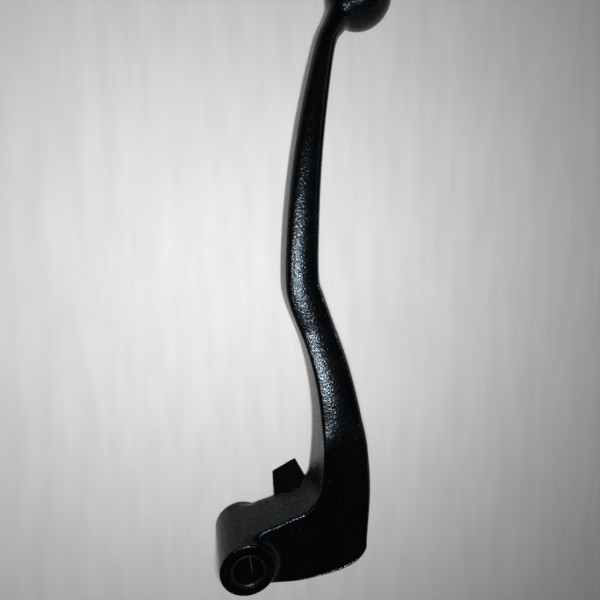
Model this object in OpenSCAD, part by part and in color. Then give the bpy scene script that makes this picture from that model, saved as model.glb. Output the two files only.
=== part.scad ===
// Clutch lever for a motorcycle: a die-cast lever arm with a ball end, and the loose
// distance collar that turns in its pivot eye. It is a left-hand lever seen from above.
// The pivot axis is Z, with the lower end of the collar at z = 0. +Y runs from the pivot
// along the blade to the ball, and +X points forward, away from the grip. The blade drops
// towards the ball, as on a real lever, so the ball lies lower than the eye.

/* [Pivot eye] */
// Outer diameter of the pivot eye
eye_d = 15.5; // [15:0.1:16]
// Height of the pivot collar, end to end
collar_h = 21; // [20:0.5:22]
// Outer diameter of the pivot collar
collar_d = 10; // [9.4:0.1:11]
// Bore of the pivot collar, for the pivot bolt
collar_bore_d = 8; // [6:0.1:8.2]
// Radial running clearance between the collar and the eye
eye_clearance = 0.05; // [0.02:0.01:0.1]
// How far the collar stands proud of the eye at each end
collar_proud = 0.1; // [0.05:0.05:0.3]

/* [Blade seen from above] */
// Distance along from the pivot to where the bow of the blade starts
bow_y = 78; // [76:0.5:80]
// Distance forward from the pivot to the middle of the blade there
bow_x = 17; // [15:0.5:19]
// Radius of the bow, which curves forward towards the ball
bow_r = 290; // [250:5:320]
// Width of the blade where the bow starts
crook_w = 10; // [9:0.5:12]
// Width of the neck, where the bow ends
neck_w = 6; // [5:0.5:8]

/* [Lever arm] */
// Thickness of the root, where the arm joins the eye
root_t = 14.4; // [13:0.1:15]
// Thickness of the blade at the crook
crook_t = 11.6; // [10:0.1:13]
// Thickness of the blade at the neck, just before the ball
neck_t = 10; // [8:0.1:11]
// Diameter of the ball end
ball_d = 18.6; // [18:0.1:21]
// Drop of the blade, in mm for each mm along it
blade_drop = 0.1; // [0.05:0.01:0.12]
// Edge radius of the root
root_edge_r = 0.8; // [0.4:0.1:2]
// Edge radius of the blade on the grip side, at the neck
grip_edge_r = 2.4; // [1.5:0.1:3]
// Edge radius of the blade on the front side, at the neck
front_edge_r = 3.4; // [2:0.1:4]
// How far the top and bottom of the blade are crowned
crown = 1.2; // [0:0.1:1.5]

/* [Cable seat] */
// Distance from the pivot axis to the cable nipple
nipple_x = 26; // [25:0.5:27]
// Diameter of the blind hole that holds the cable nipple
nipple_d = 8.2; // [7.2:0.1:8.6]
// Depth of the blind nipple hole, from the lower end of its boss
nipple_depth = 12; // [9:0.5:13]
// Outer diameter of the boss round the nipple hole
boss_d = 14; // [13:0.5:15]
// Width of the slot that lets the cable out
slot_w = 3; // [2.5:0.1:3.5]

/* [Switch lug] */
// How far the lug that works the clutch switch reaches below the collar
lug_reach = 2.1; // [1:0.1:3]
// Thickness of the lug, front to back
lug_t = 3; // [2:0.1:3.5]
// Corner radius of the lug
lug_r = 0.6; // [0.4:0.1:1]

/* [Hidden] */
$fn = 64;
over = 1;
mid_z = collar_h / 2;
root_bottom = mid_z - root_t / 2;
edge_break = 0.4;

// Angle that the bow of the blade turns through, up to the neck
bow_angle = 12.5;
blade_steps = 4;
ball_at = [33.5, 155];

// The hollow between the root and the eye, and the round of the root's front corner
hollow_at = [11.5, 21];
hollow_r = 9;
corner_at = [29, 1];
corner_r = 6.5;

function polar(c, r, a) = c + r * [cos(a), sin(a)];

// Width of the blade, t from 0 where the bow starts to 1 at the neck
function blade_w(t) = crook_w - (crook_w - neck_w) * pow(t, 1.5);

// One side of the blade, from the neck to the crook: 1 is the grip side, -1 the front
function blade_side(side) =
    [for (k = [0:blade_steps]) let (t = 1 - k / blade_steps)
        polar([bow_x + bow_r, bow_y], bow_r + side * blade_w(t) / 2, 180 - bow_angle * t)];

// The two sides of the arm, from inside the ball round to the eye. Matching points face
// each other across the arm, and a smooth curve runs through each list.
grip_side = concat(
    [[27, 156], [23.5, 147.5]],
    blade_side(1),
    [[13, 70], [17.5, 58], [20, 46], [21, 32]],
    [for (a = [0, -30, -60, -85]) polar(hollow_at, hollow_r, a)],
    [[8.5, 10.5], [5, 9.5], [1, 7.5]]);
front_side = concat(
    [[34.5, 151.5], [29.5, 145]],
    blade_side(-1),
    [[23.5, 72], [28.5, 58], [31.5, 46], [34, 32], [35.5, 18]],
    [for (a = [15, -20, -60]) polar(corner_at, corner_r, a)],
    [[26, -7], [15, -8.5], [3, -7.5]]);

last = len(grip_side) - 1;
// Where the bow and the root start, counted in points from the ball
kink = 2 + blade_steps;
root = kink + 4;
// The crook slopes down from the root to the blade between these distances from the pivot,
// and its slope is eased in and out over this part of it
root_y = [32, 64];
ease = 0.12;
// Rings between two points, and corners along each edge radius and across the crown
steps = 3;
arc_steps = 5;
crown_steps = 4;

// Corners of the switch lug: where it leaves the root, and its lower end
lug_top = [[10.5, 11], [19, 15.5]];
lug_end = [[10.5, 15], [16.5, 19.5]];

// Catmull-Rom curve through the points p, at u, counted in points
function at(p, u) =
    let (i = min(floor(u), len(p) - 2), t = u - i,
         a = p[max(i - 1, 0)], b = p[i], c = p[i + 1], d = p[min(i + 2, len(p) - 1)])
    0.5 * (2 * b + (c - a) * t + (2 * a - 5 * b + 4 * c - d) * t * t
           + (3 * b - a - 3 * c + d) * t * t * t);

// A straight ramp from 0 to 1 whose two ends are eased over the part e of it
function ramp(t, e) =
    let (c = min(max(t, 0), 1))
    c < e ? c * c / (2 * e * (1 - e))
          : c > 1 - e ? 1 - pow(1 - c, 2) / (2 * e * (1 - e)) : (c - e / 2) / (1 - e);

// Height of the blade's centre line, which drops away from the eye, and of the whole arm's
function blade_z(y) = ball_d / 2 - blade_drop * (y + eye_d / 2);
function centre_z(y) =
    let (s = ramp((root_y[1] - y) / (root_y[1] - root_y[0]), ease))
    (1 - s) * blade_z(y) + s * mid_z;
function thickness(u) = lookup(u, [[0, neck_t], [2, neck_t], [kink, crook_t], [root, root_t]]);
// Edge radii on the two sides, and how far the top stands above its edges
function grip_r(u) = lookup(u, [[1, grip_edge_r], [root - 2, root_edge_r]]);
function front_r(u) = lookup(u, [[1, front_edge_r], [root, 1.6 * root_edge_r]]);
function crown_at(u) = lookup(u, [[root - 0.5, crown], [root, 0]]);

// A quarter round of radius r about c, from the given angle
function quarter(c, r, from) =
    [for (i = [0:arc_steps]) let (a = from - 90 * i / arc_steps) c + r * [cos(a), sin(a)]];

// The upper half of the section across the arm at u: [place across, height above the middle]
function half_section(u, width) =
    let (h = thickness(u) / 2, g = grip_r(u), f = front_r(u), flat = width - g - f)
    [for (p = concat(
        quarter([g, h - g], g, 180),
        [for (i = [1:crown_steps - 1]) [g + flat * i / crown_steps, h]],
        quarter([width - f, h - f], f, 90)))
        [p[0], p[1] - crown_at(u) * pow(2 * p[0] / width - 1, 2)]];

// The whole section at height z, running once round
function section(u, width, z) =
    let (top = half_section(u, width), n = len(top))
    concat([for (p = top) [p[0], z + p[1]]], [for (i = [1:n]) [top[n - i][0], z - top[n - i][1]]]);

function ring(u) =
    let (g = at(grip_side, u), f = at(front_side, u), width = norm(f - g), across = (f - g) / width)
    [for (q = section(u, width, centre_z((g[1] + f[1]) / 2))) concat(g + across * q[0], q[1])];

// The arm: rings joined into one closed skin
module arm() {
    rings = last * steps + 1;
    n = 4 * (arc_steps + 1) + 2 * (crown_steps - 1);
    m = (rings - 1) * n;
    points = [for (k = [0:rings - 1]) each ring(k / steps)];
    sides = [for (k = [0:rings - 2], i = [0:n - 1]) each
        let (j = (i + 1) % n, a = k * n + i, b = k * n + j, c = a + n, d = b + n)
        [[a, b, c], [b, d, c]]];
    ends = [for (i = [1:n - 2]) each [[0, i + 1, i], [m, m + i, m + i + 1]]];
    polyhedron(points, concat(sides, ends), convexity = 8);
}

module ball() {
    translate([ball_at[0], ball_at[1], blade_z(ball_at[1])]) sphere(d = ball_d);
}

// A ring about Z from r_in to r_out, with its outer corners broken
module turned_ring(r_in, r_out, h) {
    c = edge_break;
    rotate_extrude()
        polygon([[r_in, 0], [r_out - c, 0], [r_out, c], [r_out, h - c], [r_out - c, h], [r_in, h]]);
}

module eye() {
    translate([0, 0, collar_proud]) turned_ring(0, eye_d / 2, collar_h - 2 * collar_proud);
}

module nipple_boss() {
    translate([nipple_x, 0, 0]) cylinder(d = boss_d, h = root_bottom + over);
}

// One row of the lug's corners: rounds at both ends of the edge p, and the same set back
module lug_row(p, z, h) {
    back = [p[1][1] - p[0][1], p[0][0] - p[1][0]] / norm(p[1] - p[0]) * (lug_t - 2 * lug_r);
    for (corner = [p[0], p[1], p[0] + back, p[1] + back])
        translate([corner[0], corner[1], z]) cylinder(r = lug_r, h = h, $fn = 32);
}

module switch_lug() {
    hull() {
        lug_row(lug_top, root_bottom - lug_r, over);
        lug_row(lug_end, -lug_reach, lug_r);
    }
}

module nipple_seat() {
    translate([nipple_x, 0, -over]) cylinder(d = nipple_d, h = nipple_depth + over);
    translate([nipple_x - slot_w / 2, -boss_d, -over]) cube([slot_w, boss_d, nipple_depth + over]);
}

module lever_casting() {
    color("#202124") difference() {
        union() {
            arm();
            ball();
            eye();
            nipple_boss();
            switch_lug();
        }
        translate([0, 0, -over]) cylinder(r = collar_d / 2 + eye_clearance, h = collar_h + 2 * over);
        nipple_seat();
    }
}

module pivot_collar() {
    color("#3a3b3e") turned_ring(collar_bore_d / 2, collar_d / 2, collar_h);
}

lever_casting();
pivot_collar();
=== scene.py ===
"""Looks of the clutch lever: a powder-coated die casting and the rolled collar in its eye.

The casting is built as a distance field in millimetres, in the frame of the CAD model: the
arm, ball, eye, boss and lug flow into each other with cast fillets. The field is meshed,
the parting ridge is joined on, the bores are cut, and the mesh is scaled to metres.
"""
import math

import bmesh
import bpy
import numpy as np
from mathutils import Matrix, Vector, kdtree


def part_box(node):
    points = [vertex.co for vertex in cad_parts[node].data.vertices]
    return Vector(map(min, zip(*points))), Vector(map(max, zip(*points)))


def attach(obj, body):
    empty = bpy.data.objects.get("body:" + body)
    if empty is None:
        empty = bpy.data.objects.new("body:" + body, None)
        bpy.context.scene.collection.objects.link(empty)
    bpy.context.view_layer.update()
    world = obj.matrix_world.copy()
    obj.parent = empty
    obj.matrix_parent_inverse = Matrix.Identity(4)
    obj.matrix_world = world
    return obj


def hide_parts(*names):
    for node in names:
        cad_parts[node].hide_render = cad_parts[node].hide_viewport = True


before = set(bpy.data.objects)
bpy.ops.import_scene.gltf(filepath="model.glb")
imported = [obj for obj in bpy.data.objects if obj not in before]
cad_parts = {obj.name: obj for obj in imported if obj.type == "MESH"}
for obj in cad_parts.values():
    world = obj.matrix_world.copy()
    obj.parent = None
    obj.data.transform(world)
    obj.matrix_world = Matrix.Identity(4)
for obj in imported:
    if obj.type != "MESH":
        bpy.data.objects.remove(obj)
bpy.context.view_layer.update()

MM = 0.001

# ---- Sizes, in millimetres, as in the CAD model ----

# The blade's bow, seen from above, and its widths
BOW_Y, BOW_X, BOW_R, BOW_ANGLE, BLADE_STEPS = 78, 17, 290, 12.5, 4
CROOK_W, NECK_W = 10, 6
# The hollow between the root and the eye, and the round of the root's front corner
HOLLOW_AT, HOLLOW_R = (11.5, 21), 9
CORNER_AT, CORNER_R = (29, 1), 6.5


def polar(centre, r, degrees):
    a = math.radians(degrees)
    return (centre[0] + r * math.cos(a), centre[1] + r * math.sin(a))


def blade_side(side):
    """One side of the blade, from the neck to the crook: 1 is the grip side, -1 the front."""
    points = []
    for k in range(BLADE_STEPS + 1):
        t = 1 - k / BLADE_STEPS
        width = CROOK_W - (CROOK_W - NECK_W) * t ** 1.5
        points.append(polar((BOW_X + BOW_R, BOW_Y), BOW_R + side * width / 2,
                            180 - BOW_ANGLE * t))
    return points


# The two sides of the arm, from inside the ball round to the eye
GRIP_SIDE = [
    (27, 156), (23.5, 147.5), *blade_side(1), (13, 70), (17.5, 58), (20, 46), (21, 32),
    *[polar(HOLLOW_AT, HOLLOW_R, a) for a in (0, -30, -60, -85)],
    (8.5, 10.5), (5, 9.5), (1, 7.5),
]
FRONT_SIDE = [
    (34.5, 151.5), (29.5, 145), *blade_side(-1), (23.5, 72), (28.5, 58), (31.5, 46), (34, 32),
    (35.5, 18), *[polar(CORNER_AT, CORNER_R, a) for a in (15, -20, -60)],
    (26, -7), (15, -8.5), (3, -7.5),
]
LAST = len(GRIP_SIDE) - 1
KINK = 2 + BLADE_STEPS
ROOT = KINK + 4
NECK_T, CROOK_T, ROOT_T = 10, 11.6, 14.4
ROOT_EDGE_R, GRIP_EDGE_R, FRONT_EDGE_R, CROWN = 0.8, 2.4, 3.4, 1.2
ROOT_Y, EASE = (32, 64), 0.12

COLLAR_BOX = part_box("pivot_collar")
COLLAR_H = (COLLAR_BOX[1].z - COLLAR_BOX[0].z) / MM
COLLAR_R = (COLLAR_BOX[1].x - COLLAR_BOX[0].x) / 2 / MM
COLLAR_BORE_R = 4
MID_Z = COLLAR_H / 2
ROOT_BOTTOM = MID_Z - ROOT_T / 2
EYE_R, EYE_CLEARANCE, COLLAR_PROUD = 7.75, 0.05, 0.1
EYE_EDGE_R = 0.5
BALL_R = 9.3
BLADE_DROP = 0.1
BALL_AT = (33.5, 155)
NIPPLE_X, NIPPLE_R, NIPPLE_DEPTH, BOSS_R, SLOT_W = 26, 4.1, 12, 7, 3
LUG_TOP = ((10.5, 11), (19, 15.5))
LUG_END = ((10.5, 15), (16.5, 19.5))
LUG_REACH, LUG_T, LUG_EDGE_R = 2.1, 3, 0.6

# Fillet sizes where the pieces of the casting meet
FILLET_EYE, FILLET_BALL, FILLET_LUG, FILLET_BOSS = 4.5, 3, 0.4, 1.5
# How much the sides lean in, in mm for each mm away from the middle of the section
DRAFT = 0.02
# How far the skin is kept inside the outline of the CAD solid
INSET = 0.03
# The parting ridge: how far in from the front edge it runs, its radius and its sides
RIDGE_IN, RIDGE_R, RIDGE_SIDES = 1.3, 0.34, 10
# How far the boss and the lug reach up into the root, and the rounding of their edges
BOSS_ROOTED, BOSS_EDGE_R = 3, 0.5
LUG_ROOTED, LUG_SOFT, LUG_SWELL = 1.5, 0.12, 0.05
# Chamfers at the mouths of the two bores, and the depth of the nipple hole's drill point
BORE_CHAMFER, NIPPLE_CHAMFER, DRILL_POINT = 0.05, 0.3, 1.2
# The marks of the ejector pins: their places, their radii and their depth
EJECTOR_AT = ((12, -3.5), (28.5, 17), (24.5, 26))
EJECTOR_R, EJECTOR_MOUTH_R, EJECTOR_DEPTH = 1.75, 1.9, 0.12

# Spacing of the mesh and of the plan fields, and the box that the casting is meshed in
GRID = 0.36
PLAN_STEP = 0.3
MESH_LOW, MESH_HIGH = (-9.2, -12.6, -18), (44.4, 166.2, 22.4)
NEWTON_ROUNDS, SETTLE_ROUNDS = 8, 8


# ---- The casting as a field: negative inside, and about a distance near the surface ----

def ramp(t, ease):
    """A straight ramp from 0 to 1 whose two ends are eased over this part of it."""
    t = np.clip(t, 0, 1)
    bend = 2 * ease * (1 - ease)
    return np.where(t < ease, t * t / bend,
                    np.where(t > 1 - ease, 1 - (1 - t) ** 2 / bend, (t - ease / 2) / (1 - ease)))


def blade_z(y):
    return BALL_R - BLADE_DROP * (y + EYE_R)


def centre_z(y):
    s = ramp((ROOT_Y[1] - y) / (ROOT_Y[1] - ROOT_Y[0]), EASE)
    return (1 - s) * blade_z(y) + s * MID_Z


def curve(points, u):
    """Catmull-Rom curve through the points, and its slope, at u, counted in points."""
    p = np.array(points, float)
    i = np.clip(np.floor(u).astype(int), 0, len(p) - 2)
    t = (u - i)[..., None]
    a, b = p[np.maximum(i - 1, 0)], p[i]
    c, d = p[i + 1], p[np.minimum(i + 2, len(p) - 1)]
    q1, q2, q3 = c - a, 2 * a - 5 * b + 4 * c - d, 3 * b - a - 3 * c + d
    return (0.5 * (2 * b + q1 * t + q2 * t ** 2 + q3 * t ** 3),
            0.5 * (q1 + 2 * q2 * t + 3 * q3 * t ** 2))


def section(u):
    """The arm's section at u: half its thickness, its edge radii and its crown."""
    return {
        "half": np.interp(u, [0, 2, KINK, ROOT], [NECK_T, NECK_T, CROOK_T, ROOT_T]) / 2,
        "grip_r": np.interp(u, [1, ROOT - 2], [GRIP_EDGE_R, ROOT_EDGE_R]),
        "front_r": np.interp(u, [1, ROOT], [FRONT_EDGE_R, 1.6 * ROOT_EDGE_R]),
        "crown": np.interp(u, [ROOT - 0.5, ROOT], [CROWN, 0]),
    }


class Plan:
    """Fields over the plan of the arm: where each point lies along it and across it."""

    def __init__(self, low, high, step):
        self.low, self.step = np.array(low, float), step
        self.shape = tuple(int(math.ceil((h - l) / step)) + 1 for l, h in zip(low, high))
        x, y = np.meshgrid(*[l + step * np.arange(n) for l, n in zip(low, self.shape)],
                           indexing="ij")
        u, across = self.nearest(x.ravel(), y.ravel())
        for _ in range(NEWTON_ROUNDS):
            u, across = self.newton(x.ravel(), y.ravel(), u, across)
        g, _ = curve(GRIP_SIDE, u)
        f, _ = curve(FRONT_SIDE, u)
        width = np.linalg.norm(f - g, axis=-1)
        here = np.stack([x.ravel(), y.ravel()], -1)
        beyond = np.maximum(self.past_end(here, 0), self.past_end(here, LAST))
        fields = {
            "from_grip": across * width,
            "from_front": (1 - across) * width,
            "z": centre_z((g[:, 1] + f[:, 1]) / 2),
            "width": width,
            **section(u),
            "beyond": beyond,
        }
        self.fields = {k: v.reshape(self.shape) for k, v in fields.items()}

    @staticmethod
    def nearest(x, y):
        """A first guess at (place along, place across) of each plan point."""
        us, ts = np.linspace(0, LAST, 721), np.linspace(-0.3, 1.3, 33)
        u, t = [m.ravel() for m in np.meshgrid(us, ts, indexing="ij")]
        p = curve(GRIP_SIDE, u)[0] * (1 - t)[:, None] + curve(FRONT_SIDE, u)[0] * t[:, None]
        tree = kdtree.KDTree(len(p))
        for i, q in enumerate(p):
            tree.insert((q[0], q[1], 0), i)
        tree.balance()
        found = np.array([tree.find((a, b, 0))[1] for a, b in zip(x, y)])
        return u[found], t[found]

    @staticmethod
    def newton(x, y, u, t):
        """One step towards the (u, t) whose point on the arm's ruled plan is (x, y)."""
        (g, dg), (f, df) = curve(GRIP_SIDE, u), curve(FRONT_SIDE, u)
        off = np.stack([x, y], -1) - (g + t[:, None] * (f - g))
        along, over = dg + t[:, None] * (df - dg), f - g
        det = along[:, 0] * over[:, 1] - along[:, 1] * over[:, 0]
        det = np.where(np.abs(det) < 1e-6, 1e-6, det)
        du = (off[:, 0] * over[:, 1] - off[:, 1] * over[:, 0]) / det
        new_u = np.clip(u + np.clip(du, -0.3, 0.3), 0, LAST)
        g, f = curve(GRIP_SIDE, new_u)[0], curve(FRONT_SIDE, new_u)[0]
        over = f - g
        flat = np.stack([x, y], -1) - g
        return new_u, np.sum(flat * over, -1) / np.sum(over * over, -1)

    @staticmethod
    def past_end(here, u):
        """How far each point lies beyond the arm's end at u."""
        at = np.array([float(u)])
        (g, dg), (f, df) = curve(GRIP_SIDE, at), curve(FRONT_SIDE, at)
        over = (f - g)[0] / np.linalg.norm(f - g)
        out = np.array([over[1], -over[0]])
        way = (dg + df)[0] * (-1 if u == 0 else 1)
        out = out if out @ way > 0 else -out
        return (here - g[0]) @ out

    def at(self, x, y):
        """The fields at plan points, as a dict of arrays."""
        i = np.clip((x - self.low[0]) / self.step, 0, self.shape[0] - 1.001)
        j = np.clip((y - self.low[1]) / self.step, 0, self.shape[1] - 1.001)
        i0, j0 = i.astype(int), j.astype(int)
        a, b = i - i0, j - j0
        return {k: f[i0, j0] * (1 - a) * (1 - b) + f[i0 + 1, j0] * a * (1 - b)
                + f[i0, j0 + 1] * (1 - a) * b + f[i0 + 1, j0 + 1] * a * b
                for k, f in self.fields.items()}


def smooth_union(a, b, fillet):
    blend = np.maximum(fillet - np.abs(a - b), 0) / fillet
    return np.minimum(a, b) - blend ** 3 * fillet / 6


def corner(a, h, r, half):
    """One side of the arm's section, a in from its outline, with edges rounded to r."""
    over, above = r - a, h - (half - r)
    return (np.minimum(np.maximum(over, above), 0)
            + np.hypot(np.maximum(over, 0), np.maximum(above, 0)) - r)


def rounded_post(x, y, z, r, low, high, edge):
    """An upright cylinder with rounded ends."""
    over = np.hypot(x, y) - (r - edge)
    above = np.abs(z - (low + high) / 2) - (high - low) / 2 + edge
    return (np.minimum(np.maximum(over, above), 0)
            + np.hypot(np.maximum(over, 0), np.maximum(above, 0)) - edge)


def lug_planes():
    """Outward planes (normal, distance) of the switch lug: the hull of its two ends."""
    def row(ends, z):
        p, q = np.array(ends[0]), np.array(ends[1])
        way = (q - p) / np.linalg.norm(q - p)
        back = np.array([way[1], -way[0]]) * (LUG_T - 2 * LUG_EDGE_R)
        return [np.append(c, z) for c in (p, q, q + back, p + back)]
    top, end = row(LUG_TOP, ROOT_BOTTOM + 0.4), row(LUG_END, -LUG_REACH + LUG_EDGE_R)
    middle = np.mean(top + end, axis=0)
    faces = [(end[0], end[1], end[2])]
    faces += [(top[i], top[(i + 1) % 4], end[i]) for i in range(4)]
    planes = []
    for a, b, c in faces:
        n = np.cross(b - a, c - a)
        n /= np.linalg.norm(n)
        n = n if (a - middle) @ n > 0 else -n
        planes.append((n, a @ n))
    return planes


LUG_PLANES = lug_planes()


def lug(x, y, z):
    d = [n[0] * x + n[1] * y + n[2] * z - c for n, c in LUG_PLANES]
    d.append(z - (ROOT_BOTTOM + LUG_ROOTED) + 0 * x)
    d = np.stack(np.broadcast_arrays(*d))
    # rounded where planes meet: a soft maximum, grown by the edge radius
    k = LUG_SOFT
    top = d.max(0)
    soft = top + k * np.log(np.exp(np.maximum((d - top) / k, -30)).sum(0))
    return soft - LUG_EDGE_R - LUG_SWELL


def casting_field(plan, x, y, z, sampled=None):
    s = sampled or plan.at(x, y)
    across = np.clip(2 * s["from_grip"] / s["width"] - 1, -1.1, 1.1)
    h = np.abs(z - s["z"]) + s["crown"] * across ** 2
    draft = DRAFT * h
    arm = np.maximum(corner(s["from_grip"] - draft, h, s["grip_r"], s["half"]),
                     corner(s["from_front"] - draft, h, s["front_r"], s["half"]))
    arm = np.maximum(arm, s["beyond"])
    ball = np.sqrt((x - BALL_AT[0]) ** 2 + (y - BALL_AT[1]) ** 2
                   + (z - blade_z(BALL_AT[1])) ** 2) - BALL_R
    eye = rounded_post(x, y, z, EYE_R, COLLAR_PROUD, COLLAR_H - COLLAR_PROUD, EYE_EDGE_R)
    boss = rounded_post(x - NIPPLE_X, y, z, BOSS_R, 0, ROOT_BOTTOM + BOSS_ROOTED, BOSS_EDGE_R)
    whole = smooth_union(arm, ball, FILLET_BALL)
    whole = smooth_union(whole, eye, FILLET_EYE)
    whole = smooth_union(whole, boss, FILLET_BOSS)
    return smooth_union(whole, lug(x, y, z), FILLET_LUG) + INSET


# ---- Meshing ----

def surface_nets(field, low, step):
    """Vertices and quads of the field's zero surface."""
    inside = field < 0
    n = field.shape
    count = np.zeros([k - 1 for k in n], np.int8)
    for a in (0, 1):
        for b in (0, 1):
            for c in (0, 1):
                count += inside[a:n[0] - 1 + a, b:n[1] - 1 + b, c:n[2] - 1 + c]
    active = (count > 0) & (count < 8)
    cells = np.argwhere(active)
    index = np.full(active.shape, -1)
    index[active] = np.arange(len(cells))
    total, hits = np.zeros((len(cells), 3)), np.zeros(len(cells))
    for axis in range(3):
        u, v = (axis + 1) % 3, (axis + 2) % 3
        for p in (0, 1):
            for q in (0, 1):
                a = cells.copy()
                a[:, u] += p
                a[:, v] += q
                b = a.copy()
                b[:, axis] += 1
                fa, fb = field[tuple(a.T)], field[tuple(b.T)]
                cut = (fa < 0) != (fb < 0)
                t = (fa / np.where(cut, fa - fb, 1))[:, None]
                total += np.where(cut[:, None], a + t * (b - a), 0)
                hits += cut
    verts = np.array(low) + step * total / hits[:, None]
    quads = []
    for axis in range(3):
        u, v = (axis + 1) % 3, (axis + 2) % 3
        first = [slice(None)] * 3
        second = [slice(None)] * 3
        first[axis], second[axis] = slice(0, -1), slice(1, None)
        lo, hi = inside[tuple(first)], inside[tuple(second)]
        for starts, order in ((lo & ~hi, (0, 1, 2, 3)), (hi & ~lo, (3, 2, 1, 0))):
            p = np.argwhere(starts)
            ring = []
            for du, dv in ((1, 1), (0, 1), (0, 0), (1, 0)):
                c = p.copy()
                c[:, u] -= du
                c[:, v] -= dv
                ring.append(index[tuple(c.T)])
            quads.append(np.stack([ring[k] for k in order], -1))
    return verts, np.concatenate(quads)


def settle(verts, quads, field, rounds):
    """Evens out the vertices over the surface, and puts them exactly on it."""
    edges = np.concatenate([quads[:, [i, (i + 1) % 4]] for i in range(4)])
    degree = np.bincount(edges[:, 0], minlength=len(verts)).astype(float)
    e = 0.02
    for k in range(rounds):
        if k < rounds - 2:
            mean = np.stack([np.bincount(edges[:, 0], verts[edges[:, 1], c], len(verts))
                             for c in range(3)], -1) / degree[:, None]
            verts = verts + 0.5 * (mean - verts)
        here = field(*verts.T)
        slope = np.stack([(field(*(verts + d).T) - field(*(verts - d).T)) / (2 * e)
                          for d in np.eye(3) * e], -1)
        size = np.maximum(np.sum(slope ** 2, -1), 0.05)
        verts = verts - np.clip(here / size, -0.3, 0.3)[:, None] * slope
    return verts


def new_object(name, verts, faces):
    mesh = bpy.data.meshes.new(name)
    mesh.from_pydata([tuple(v) for v in verts], [], [tuple(f) for f in faces])
    mesh.validate()
    mesh.update()
    obj = bpy.data.objects.new(name, mesh)
    bpy.context.scene.collection.objects.link(obj)
    return obj


def solid_lathe(name, profile, sides):
    """A solid turned about Z, from a profile whose first and last points are on the axis."""
    verts, faces = [(0, 0, profile[0][1]), (0, 0, profile[-1][1])], []
    rim = profile[1:-1]
    n = len(rim)
    for i in range(sides):
        a = 2 * math.pi * i / sides
        verts += [(r * math.cos(a), r * math.sin(a), z) for r, z in rim]
    for i in range(sides):
        p, q = 2 + i * n, 2 + ((i + 1) % sides) * n
        faces.append((0, q, p))
        faces.append((1, p + n - 1, q + n - 1))
        faces += [(p + j, q + j, q + j + 1, p + j + 1) for j in range(n - 1)]
    return new_object(name, verts, faces)


def cut(obj, tools, operation="DIFFERENCE"):
    """Booleans the tools into obj, and removes them."""
    for tool in tools:
        mod = obj.modifiers.new("cut", "BOOLEAN")
        mod.operation, mod.solver, mod.object = operation, "EXACT", tool
    bpy.context.view_layer.update()
    done = bpy.data.meshes.new_from_object(
        obj.evaluated_get(bpy.context.evaluated_depsgraph_get()))
    obj.modifiers.clear()
    old, obj.data = obj.data, done
    bpy.data.meshes.remove(old)
    for tool in tools:
        bpy.data.objects.remove(tool)


def shade(obj, angle):
    """Smooth shading, with sharp edges only where faces meet at more than angle."""
    bm = bmesh.new()
    bm.from_mesh(obj.data)
    for f in bm.faces:
        f.smooth = True
    for e in bm.edges:
        e.smooth = len(e.link_faces) == 2 and e.calc_face_angle(0) < math.radians(angle)
    bm.to_mesh(obj.data)
    bm.free()


# ---- The casting ----

def bore_tool():
    """The eye's bore, with a small chamfer at both mouths."""
    r, c = COLLAR_R + EYE_CLEARANCE, BORE_CHAMFER
    low, high = COLLAR_PROUD, COLLAR_H - COLLAR_PROUD
    return solid_lathe("bore_tool", [
        (0, low - 2), (r + c + 2, low - 2), (r, low + c), (r, high - c),
        (r + c + 2, high + 2), (0, high + 2)], 128)


def nipple_tools():
    """The blind hole for the cable nipple, and the slot for the cable."""
    c = NIPPLE_CHAMFER
    hole = solid_lathe("hole_tool", [
        (0, -2), (NIPPLE_R + c + 2, -2), (NIPPLE_R, c), (NIPPLE_R, NIPPLE_DEPTH),
        (0, NIPPLE_DEPTH + DRILL_POINT)], 96)
    hole.location.x = NIPPLE_X
    x0, x1, y0 = NIPPLE_X - SLOT_W / 2, NIPPLE_X + SLOT_W / 2, -BOSS_R * 2
    flare = c + 1
    ring = [(x0 - flare, -1), (x1 + flare, -1), (x1, c), (x1, NIPPLE_DEPTH),
            (x0, NIPPLE_DEPTH), (x0, c)]
    n = len(ring)
    verts = [(x, y0, z) for x, z in ring] + [(x, 0.1, z) for x, z in ring]
    faces = [tuple(range(n)), tuple(range(2 * n - 1, n - 1, -1))]
    faces += [(i, i + n, (i + 1) % n + n, (i + 1) % n) for i in range(n)]
    return [hole, new_object("slot_tool", verts, faces)]


def ejector_tools():
    """Shallow round marks that the ejector pins of the mould leave on the underside."""
    tools = []
    low, high = ROOT_BOTTOM - 1, ROOT_BOTTOM + EJECTOR_DEPTH
    for x, y in EJECTOR_AT:
        tool = solid_lathe("pin_tool", [
            (0, low), (EJECTOR_MOUTH_R, low), (EJECTOR_R, high), (0, high)], 48)
        tool.location.x, tool.location.y = x, y
        tools.append(tool)
    return tools


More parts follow.
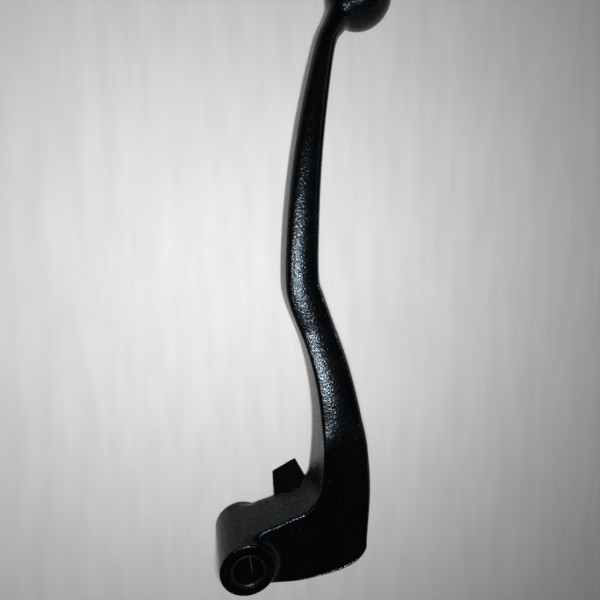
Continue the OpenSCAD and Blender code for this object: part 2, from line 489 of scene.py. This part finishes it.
def make_ridge():
    """The fine ridge that the mould's parting leaves along the arm's upper front edge."""
    u = np.linspace(1.5, LAST - 1, 260)
    g, f, s = curve(GRIP_SIDE, u)[0], curve(FRONT_SIDE, u)[0], section(u)
    width = np.linalg.norm(f - g, axis=-1)
    rise = np.sqrt(s["front_r"] ** 2 - np.maximum(s["front_r"] - RIDGE_IN, 0) ** 2)
    across = 1 - 2 * RIDGE_IN / width
    z = (centre_z((g[:, 1] + f[:, 1]) / 2) + s["half"] - s["front_r"] + rise
         - s["crown"] * across ** 2)
    path = np.column_stack([f + (g - f) * (RIDGE_IN / width)[:, None], z])
    way = np.gradient(path, axis=0)
    way /= np.linalg.norm(way, axis=1)[:, None]
    out = np.cross(way, (0, 0, 1))
    out /= np.linalg.norm(out, axis=1)[:, None]
    above = np.cross(out, way)
    r = RIDGE_R * np.interp(u, [1.5, 2.5, LAST - 2, LAST - 1], [0.2, 1, 1, 0.2])[:, None]
    turns = [math.radians(360 * k / RIDGE_SIDES) for k in range(RIDGE_SIDES)]
    rings = [path + r * (math.cos(a) * out + math.sin(a) * above) for a in turns]
    verts, n = np.stack(rings, 1).reshape(-1, 3), RIDGE_SIDES
    faces = [(i * n + j, i * n + (j + 1) % n, (i + 1) * n + (j + 1) % n, (i + 1) * n + j)
             for i in range(len(u) - 1) for j in range(n)]
    faces += [tuple(range(n))[::-1], tuple(len(verts) - n + j for j in range(n))]
    ridge = new_object("ridge", verts, faces)
    bm = bmesh.new()
    bm.from_mesh(ridge.data)
    bmesh.ops.recalc_face_normals(bm, faces=bm.faces)
    bm.to_mesh(ridge.data)
    bm.free()
    return ridge


def make_casting():
    low, high = np.array(MESH_LOW), np.array(MESH_HIGH)
    plan = Plan(low[:2], high[:2], PLAN_STEP)
    n = [int(math.ceil((h - l) / GRID)) + 1 for l, h in zip(low, high)]
    axes = [l + GRID * np.arange(k) for l, k in zip(low, n)]
    field = np.empty(n, np.float32)
    for j in range(0, n[1], 40):
        x, y = np.meshgrid(axes[0], axes[1][j:j + 40], indexing="ij")
        sampled = {k: v[..., None] for k, v in plan.at(x, y).items()}
        field[:, j:j + 40] = casting_field(plan, x[..., None], y[..., None], axes[2], sampled)
    verts, quads = surface_nets(field, low, GRID)
    verts = settle(verts, quads, lambda a, b, c: casting_field(plan, a, b, c),
                   SETTLE_ROUNDS)
    obj = new_object("casting", verts, quads)
    cut(obj, [make_ridge()], "UNION")
    cut(obj, [bore_tool(), *nipple_tools(), *ejector_tools()])
    return obj


# ---- The collar: a strip rolled into a tube, with a seam where its ends meet ----

SEAM_ANGLE = math.radians(-66)
SEAM_GAP = 0.12
SEAM_ROUND_R = 0.12
# How far the painted highlight along the seam spreads on each side of it, and the heights
# between which it fades out going up
SEAM_HIGHLIGHT_W, SEAM_HIGHLIGHT_Z = 0.22, (15, 17.5)
MOUTH_R, OUTER_EDGE_R = 0.85, 0.08
COLLAR_ROWS = 180


def collar_profile(edge_in, edge_out, inset=0.0):
    """The strip's section as (r, z) pairs, its corners rounded."""
    r0, r1, z0, z1 = COLLAR_BORE_R + inset, COLLAR_R - inset, inset, COLLAR_H - inset
    points = []
    for cx, cz, r, a0 in ((r0, z0, edge_in, 180), (r1, z0, edge_out, 270),
                          (r1, z1, edge_out, 0), (r0, z1, edge_in, 90)):
        mx = cx + r if a0 in (180, 90) else cx - r
        mz = cz + r if a0 in (180, 270) else cz - r
        for k in range(9):
            a = math.radians(a0 + 90 * k / 8)
            points.append((mx + r * math.cos(a), mz + r * math.sin(a)))
    return points


def make_collar():
    """The strip's section swept round, and drawn in at both ends where the seam is rounded."""
    start = SEAM_ANGLE + SEAM_GAP / COLLAR_BORE_R / 2
    end = SEAM_ANGLE + 2 * math.pi - SEAM_GAP / COLLAR_BORE_R / 2
    lead = []
    for degrees in (0, 22, 45, 68, 90):
        a = math.radians(degrees)
        lead.append((SEAM_ROUND_R * (1 - math.cos(a)) / COLLAR_BORE_R,
                     SEAM_ROUND_R * (1 - math.sin(a))))
    body = np.linspace(start + lead[-1][0], end - lead[-1][0], COLLAR_ROWS)[1:-1]
    rows = [(start + a, i) for a, i in lead] + [(a, 0) for a in body]
    rows += [(end - a, i) for a, i in lead[::-1]]
    verts, faces = [], []
    for a, inset in rows:
        verts += [(r * math.cos(a), r * math.sin(a), z)
                  for r, z in collar_profile(MOUTH_R, OUTER_EDGE_R, inset)]
    n = len(verts) // len(rows)
    for i in range(len(rows) - 1):
        faces += [(i * n + j, (i + 1) * n + j, (i + 1) * n + (j + 1) % n, i * n + (j + 1) % n)
                  for j in range(n)]
    faces += [tuple(range(n)), tuple(len(verts) - 1 - j for j in range(n))]
    return new_object("rolled_collar", verts, faces)


# ---- Materials ----

class Nodes:
    """Shorthand for building a material from nodes."""

    def __init__(self, name):
        self.material = bpy.data.materials.new(name)
        self.material.use_nodes = True
        self.tree = self.material.node_tree
        self.shader = self.tree.nodes["Principled BSDF"]
        self.place = self.add("ShaderNodeTexCoord").outputs["Object"]

    def add(self, kind, inputs=(), **settings):
        node = self.tree.nodes.new(kind)
        for key, value in settings.items():
            setattr(node, key, value)
        for key, value in dict(inputs).items():
            self.put(node.inputs[key], value)
        return node

    def put(self, socket, value):
        if isinstance(value, bpy.types.NodeSocket):
            self.tree.links.new(value, socket)
        else:
            socket.default_value = value

    def set(self, **inputs):
        for key, value in inputs.items():
            self.put(self.shader.inputs[key.replace("_", " ")], value)

    def stretched(self, scale):
        return self.add("ShaderNodeMapping", {"Vector": self.place, "Scale": scale}).outputs[0]

    def noise(self, size_mm, detail=2, vector=None, rough=0.5):
        """Noise with features of about size_mm, from 0 to 1."""
        return self.add("ShaderNodeTexNoise", {
            "Vector": vector or self.place, "Scale": 1 / (size_mm * MM), "Detail": detail,
            "Roughness": rough}).outputs["Fac"]

    def along(self, way):
        """How far the place lies along a direction."""
        return self.add("ShaderNodeVectorMath", {0: self.place, 1: way},
                        operation="DOT_PRODUCT").outputs["Value"]

    def math(self, operation, a, b=0.0):
        return self.add("ShaderNodeMath", {0: a, 1: b}, operation=operation).outputs[0]

    def ramp(self, value, low, high, out_low, out_high):
        return self.add("ShaderNodeMapRange", {
            "Value": value, "From Min": low, "From Max": high,
            "To Min": out_low, "To Max": out_high}).outputs["Result"]

    def mix(self, factor, a, b):
        node = self.add("ShaderNodeMix", data_type="RGBA")
        self.put(node.inputs[0], factor)
        self.put(node.inputs[6], a)
        self.put(node.inputs[7], b)
        return node.outputs[2]

    def bump(self, height, depth_mm, below=None):
        inputs = {"Height": height, "Distance": depth_mm * MM, "Strength": 1}
        if below is not None:
            inputs["Normal"] = below
        return self.add("ShaderNodeBump", inputs).outputs["Normal"]


def grey(v, blue=0.0):
    return (v, v * (1 + blue / 2), v * (1 + blue), 1)


def coat_material():
    """Black powder coat: fine grains over a soft orange peel, semi-gloss."""
    m = Nodes("powder_coat")
    peel = m.bump(m.noise(1.6, 1), 0.012)
    grain = m.bump(m.noise(0.6, 1), 0.1, peel)
    fine = m.bump(m.noise(0.3, 1), 0.02, grain)
    tone = m.mix(m.ramp(m.noise(9, 3), 0.35, 0.65, 0, 1), grey(0.0004, 0.5), grey(0.0009, 0.35))
    dust = m.ramp(m.noise(0.5, 0), 0.83, 0.87, 0, 0.08)
    sheen = m.ramp(m.noise(0.55, 1), 0.38, 0.64, 0.07, 0.2)
    m.set(Base_Color=m.mix(dust, tone, grey(0.2)),
          Roughness=m.ramp(m.noise(3, 3), 0.3, 0.7, 0.2, 0.26),
          Specular_IOR_Level=sheen, Specular_Tint=(0.68, 0.86, 1, 1), IOR=1.5, Normal=fine)
    return m.material


def collar_material():
    """Blackened steel strip with fine rolling lines, and a painted highlight along its seam."""
    m = Nodes("blackened_steel")
    lines = m.noise(0.35, 2, m.stretched((0.12, 0.12, 2.2)))
    blotch = m.ramp(m.noise(2.4, 3), 0.35, 0.65, 0, 1)
    x, y = math.cos(SEAM_ANGLE), math.sin(SEAM_ANGLE)
    off = m.math("ABSOLUTE", m.along((-y, x, 0)))
    # painted highlight: a bright strip along the seam, fading out towards the upper mouth
    seam_highlight = m.math("MULTIPLY", m.ramp(off, SEAM_HIGHLIGHT_W * MM, 0, 0, 1),
                  m.math("GREATER_THAN", m.along((x, y, 0))))
    seam_highlight = m.math("MULTIPLY", seam_highlight, m.ramp(m.along((0, 0, 1)), SEAM_HIGHLIGHT_Z[0] * MM,
                                     SEAM_HIGHLIGHT_Z[1] * MM, 1, 0))
    dark = m.mix(blotch, grey(0.006, 0.1), grey(0.012, -0.05))
    m.set(Base_Color=m.mix(seam_highlight, dark, grey(0.3)), Metallic=0.85, Specular_IOR_Level=0.25,
          Roughness=m.ramp(lines, 0.3, 0.7, 0.3, 0.42),
          Normal=m.bump(m.noise(0.25, 1), 0.002, m.bump(lines, 0.004)))
    return m.material


def floor_material():
    """A plain pale board, with a trace of unevenness."""
    m = Nodes("pale_floor")
    tone = m.ramp(m.noise(14, 3, m.stretched((3, 0.5, 1))), 0.3, 0.7, 0, 1)
    m.set(Base_Color=m.mix(tone, (0.36, 0.357, 0.35, 1), (0.39, 0.389, 0.384, 1)),
          Roughness=0.75, Specular_IOR_Level=0.15)
    return m.material


def dress(obj, material, angle):
    obj.data.materials.clear()
    obj.data.materials.append(material)
    obj.data.transform(Matrix.Scale(MM, 4))
    shade(obj, angle)


coat = coat_material()
steel = collar_material()

casting = make_casting()
dress(casting, coat, 32)
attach(casting, "lever")
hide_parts("lever_casting")

collar = make_collar()
dress(collar, steel, 40)
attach(collar, "collar")
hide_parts("pivot_collar")

# The CAD nodes carry the same materials
for node, material in (("lever_casting", coat), ("pivot_collar", steel)):
    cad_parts[node].data.materials.clear()
    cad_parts[node].data.materials.append(material)


# ---- Stage: the lever lies on its eye and its ball ----

# How far the floor lies below them, in millimetres, and half its width, in metres
FLOOR_GAP, HALF_FLOOR = 0.07, 2.0
tilt = math.atan(BLADE_DROP)
floor = new_object("floor", [(-HALF_FLOOR, -HALF_FLOOR, 0), (HALF_FLOOR, -HALF_FLOOR, 0),
                             (HALF_FLOOR, HALF_FLOOR, 0), (-HALF_FLOOR, HALF_FLOOR, 0)],
                   [(0, 1, 2, 3)])
floor.data.materials.append(floor_material())
floor.rotation_euler.x = -tilt
floor.location = (0, -EYE_R * MM, -FLOOR_GAP * MM)


# ---- Camera: above the blade, looking down and a little towards the eye ----

# where it stands and what it looks at, in millimetres, and its roll in degrees
CAMERA_AT, LOOK_AT, ROLL = (-13, 98.5, 139), (15, 72.5, 10.5), 1.2
SENSOR_WIDTH, LENS = 36, 30
camera_data = bpy.data.cameras.new("camera")
camera_data.sensor_width = SENSOR_WIDTH
camera_data.lens = LENS
camera_data.clip_start, camera_data.clip_end = 0.005, 20
camera = bpy.data.objects.new("camera", camera_data)
back = (Vector(CAMERA_AT) - Vector(LOOK_AT)).normalized()
right = Vector((0, 1, 0)).cross(back).normalized()
facing = Matrix((right, back.cross(right), back)).transposed()
camera.matrix_world = (Matrix.Rotation(math.radians(ROLL), 3, back) @ facing).to_4x4()
camera.location = Vector(CAMERA_AT) * MM
bpy.context.scene.collection.objects.link(camera)
bpy.context.scene.camera = camera


# ---- Light: one small lamp close to the camera, and a dim room ----

def lamp(name, at, aim, size, power):
    data = bpy.data.lights.new(name, "AREA")
    data.shape, data.size, data.energy = "DISK", size, power
    obj = bpy.data.objects.new(name, data)
    obj.location = at
    obj.rotation_euler = (Vector(aim) - Vector(at)).to_track_quat("-Z", "Y").to_euler()
    bpy.context.scene.collection.objects.link(obj)


LAMP_AT, LAMP_AIM, LAMP_SIZE, LAMP_POWER = (-0.010, 0.090, 0.150), (0.012, 0.085, 0), 0.02, 0.55
lamp("key", LAMP_AT, LAMP_AIM, LAMP_SIZE, LAMP_POWER)

# the walls of the room are lighter ahead of the lever than behind it
BRIGHT_SIDE = (0.8, -0.6, 0)
world = bpy.data.worlds.new("room")
world.use_nodes = True
bpy.context.scene.world = world
tree = world.node_tree
direction = tree.nodes.new("ShaderNodeTexCoord").outputs["Generated"]


def room_ramp(value, low, high, out_low, out_high):
    node = tree.nodes.new("ShaderNodeMapRange")
    node.interpolation_type = "SMOOTHSTEP"
    for key, number in (("From Min", low), ("From Max", high),
                        ("To Min", out_low), ("To Max", out_high)):
        node.inputs[key].default_value = number
    tree.links.new(value, node.inputs["Value"])
    return node.outputs["Result"]


def room_math(operation, a, b):
    node = tree.nodes.new("ShaderNodeMath")
    node.operation = operation
    tree.links.new(a, node.inputs[0])
    tree.links.new(b, node.inputs[1])
    return node.outputs[0]


split = tree.nodes.new("ShaderNodeSeparateXYZ")
tree.links.new(direction, split.inputs[0])
toward = tree.nodes.new("ShaderNodeVectorMath")
toward.operation = "DOT_PRODUCT"
tree.links.new(direction, toward.inputs[0])
toward.inputs[1].default_value = BRIGHT_SIDE
walls = room_ramp(split.outputs["Z"], 0.1, 0.6, 1, 0.02)
side = room_ramp(toward.outputs["Value"], -0.3, 0.8, 0.06, 0.7)
tree.links.new(room_math("MULTIPLY", walls, side), tree.nodes["Background"].inputs["Strength"])
tree.nodes["Background"].inputs["Color"].default_value = (1, 1, 1, 1)

bpy.context.scene.view_settings.view_transform = "Standard"
bpy.context.scene.view_settings.look = "None"
